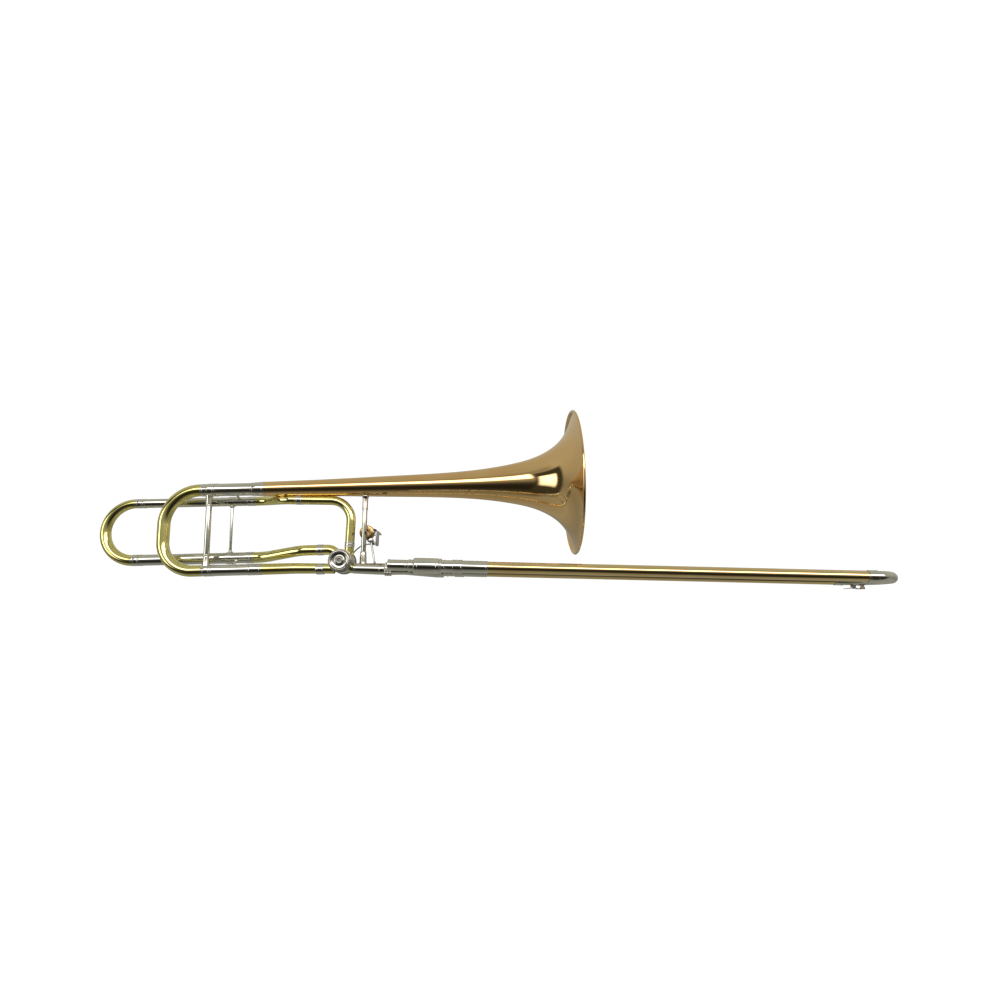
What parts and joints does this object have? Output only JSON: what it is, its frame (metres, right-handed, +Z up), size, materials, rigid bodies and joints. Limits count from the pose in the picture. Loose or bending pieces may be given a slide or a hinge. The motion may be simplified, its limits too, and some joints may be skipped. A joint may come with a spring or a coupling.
{
  "type": "tenor trombone",
  "caption": "Tenor trombone with F attachment: flared bell, long hand slide with bow and water key, pull-out tuning slides, and a thumb trigger that turns a rotary valve.",
  "frame": {"origin": "centre of the mouthpiece receiver's mouth, on the axis of the mouthpiece tube", "axes": "+X along the hand slide towards its bow, +Y from the mouthpiece tube across to the bell plane, +Z up from the slide to the bell"},
  "size_m": [1.1437, 0.2158, 0.2612],
  "materials": {
    "rose_brass": "clear lacquered rose brass",
    "yellow_brass": "clear lacquered yellow brass",
    "nickel_silver": "polished nickel silver",
    "chrome_plate": "hard chrome plate",
    "steel": "polished steel",
    "felt": "dense felt",
    "cork": "natural cork",
    "bumper_rubber": "black rubber"
  },
  "bodies": {
    "bell_section": {"bell": "rose_brass", "bell_rim_wire": "rose_brass", "bell_ferrule": "nickel_silver", "main_outer_legs": "nickel_silver", "lower_leg_ferrule": "nickel_silver", "main_valve_tube": "yellow_brass", "f_upper_tube": "yellow_brass", "f_lower_tube": "yellow_brass", "f_outer_legs": "nickel_silver", "f_brace": "nickel_silver", "f_standoffs": "nickel_silver", "valve_tube_ferrules": "nickel_silver", "valve_casing": "nickel_silver", "valve_cap": "nickel_silver", "bearing_plate": "nickel_silver", "stop_bumpers": "bumper_rubber", "neckpipe_elbow": "yellow_brass", "neckpipe": "nickel_silver", "bell_brace": "nickel_silver", "bell_brace_sockets": "nickel_silver", "trigger_drum": "yellow_brass", "trigger_spring": "steel", "trigger_bracket": "nickel_silver", "trigger_pin": "steel", "mouthpiece_receiver": "nickel_silver", "receiver_collar": "nickel_silver", "leadpipe": "yellow_brass", "inner_slide_tubes": "chrome_plate", "slide_stockings": "chrome_plate", "cork_barrels": "nickel_silver", "slide_receiver": "nickel_silver", "barrel_springs": "steel", "barrel_felts": "felt", "inner_slide_brace": "nickel_silver"},
    "main_tuning_slide": {"main_tuning_crook": "yellow_brass", "main_slide_legs": "chrome_plate", "main_slide_ferrules": "nickel_silver", "main_slide_brace": "nickel_silver", "main_slide_brace_sockets": "nickel_silver"},
    "f_tuning_slide": {"f_tuning_crook": "yellow_brass", "f_slide_legs": "chrome_plate", "f_slide_ferrules": "nickel_silver"},
    "valve_rotor": {"rotor": "nickel_silver", "stop_arm": "nickel_silver", "stop_arm_screw": "steel"},
    "trigger": {"thumb_lever": "nickel_silver"},
    "linkage": {"linkage_rod": "steel", "linkage_screws": "steel"},
    "outer_slide": {"outer_slide_tubes": "yellow_brass", "slide_sleeves": "nickel_silver", "hand_brace": "nickel_silver", "bow": "nickel_silver", "bow_ferrules": "nickel_silver", "water_key_saddle": "nickel_silver", "water_key_pin": "steel"},
    "water_key": {"water_key_lever": "nickel_silver", "water_key_cork": "cork"},
    "lock_ring": {"slide_lock_ring": "nickel_silver"},
    "bell_lock": {"bell_lock_nut": "nickel_silver"}
  },
  "joints": [
    {"name": "hand_slide", "type": "slide", "parent": "bell_section", "child": "outer_slide", "axis": [1, 0, 0], "range_m": [0, 0.57]},
    {"name": "main_tuning", "type": "slide", "parent": "bell_section", "child": "main_tuning_slide", "axis": [-0.9988, 0, -0.0488], "range_m": [0, 0.04]},
    {"name": "f_tuning", "type": "slide", "parent": "bell_section", "child": "f_tuning_slide", "axis": [-0.9988, 0, -0.0488], "range_m": [0, 0.05]},
    {"name": "trigger_hinge", "type": "hinge", "parent": "bell_section", "child": "trigger", "pos_m": [-0.0465, 0.1, 0.0535], "axis": [0, 1, 0], "range_deg": [0, 32], "stiffness_Nm_per_rad": 0.12, "springref_deg": -28.65},
    {"name": "rotor_turn", "type": "hinge", "parent": "bell_section", "child": "valve_rotor", "pos_m": [-0.0785, 0.084, 0.0095], "axis": [0, 1, 0], "range_deg": [-90.5, 0]},
    {"name": "linkage_pivot", "type": "hinge", "parent": "trigger", "child": "linkage", "pos_m": [-0.0385, 0.1058, 0.03907], "axis": [0, 1, 0], "range_deg": [-30, 0]},
    {"name": "water_key_hinge", "type": "hinge", "parent": "outer_slide", "child": "water_key", "pos_m": [0.67, 0.0795, -0.0106], "axis": [0, 1, 0], "range_deg": [0, 14], "stiffness_Nm_per_rad": 0.02, "springref_deg": -34.38},
    {"name": "slide_lock", "type": "hinge", "parent": "bell_section", "child": "lock_ring", "pos_m": [0.0696, 0, 0], "axis": [1, 0, 0], "range_deg": [-30, 0]},
    {"name": "bell_lock_turn", "type": "hinge", "parent": "bell_section", "child": "bell_lock", "pos_m": [-0.0113, 0.084, 0], "axis": [1, 0, 0], "continuous": true}
  ],
  "couplings": [
    {"joint": "rotor_turn", "follows": "trigger_hinge", "ratio": -2.8125},
    {"joint": "linkage_pivot", "follows": "trigger_hinge", "ratio": -0.9222}
  ]
}
